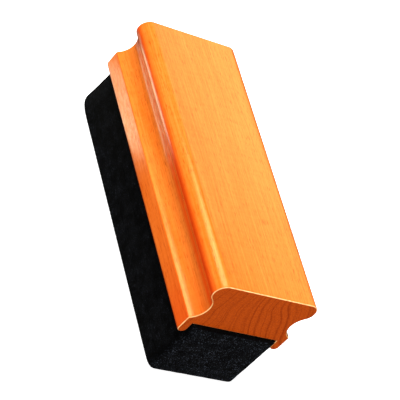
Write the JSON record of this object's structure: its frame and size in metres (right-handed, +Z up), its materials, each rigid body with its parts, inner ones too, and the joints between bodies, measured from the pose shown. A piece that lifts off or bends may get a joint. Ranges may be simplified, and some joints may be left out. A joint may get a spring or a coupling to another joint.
{
  "type": "chalkboard eraser",
  "caption": "Chalkboard eraser with a moulded wooden handle, finger coves along both sides and a thick felt wiping pad glued into a channel underneath.",
  "frame": {"origin": "middle of the wiping face, at the bottom of the felt pad", "axes": "+X along the eraser's length, towards the end where the handle comes closest to the end of the pad; +Z up from the wiping face to the handle's top; Y across the width"},
  "size_m": [0.145, 0.051, 0.057],
  "materials": {
    "lacquered_wood": "orange stain under satin gloss lacquer, straight grain along the length",
    "black_felt": "matt pressed wool felt with fine fibres",
    "contact_cement": "thin dried rubber film"
  },
  "bodies": {
    "root": {"wooden_handle": "lacquered_wood", "handle_glue_film": "contact_cement", "felt_seat_layer": "black_felt", "upper_glue_film": "contact_cement", "felt_upper_layer": "black_felt", "middle_glue_film": "contact_cement", "felt_lower_layer": "black_felt", "lower_glue_film": "contact_cement", "felt_wiping_layer": "black_felt"}
  },
  "joints": []
}
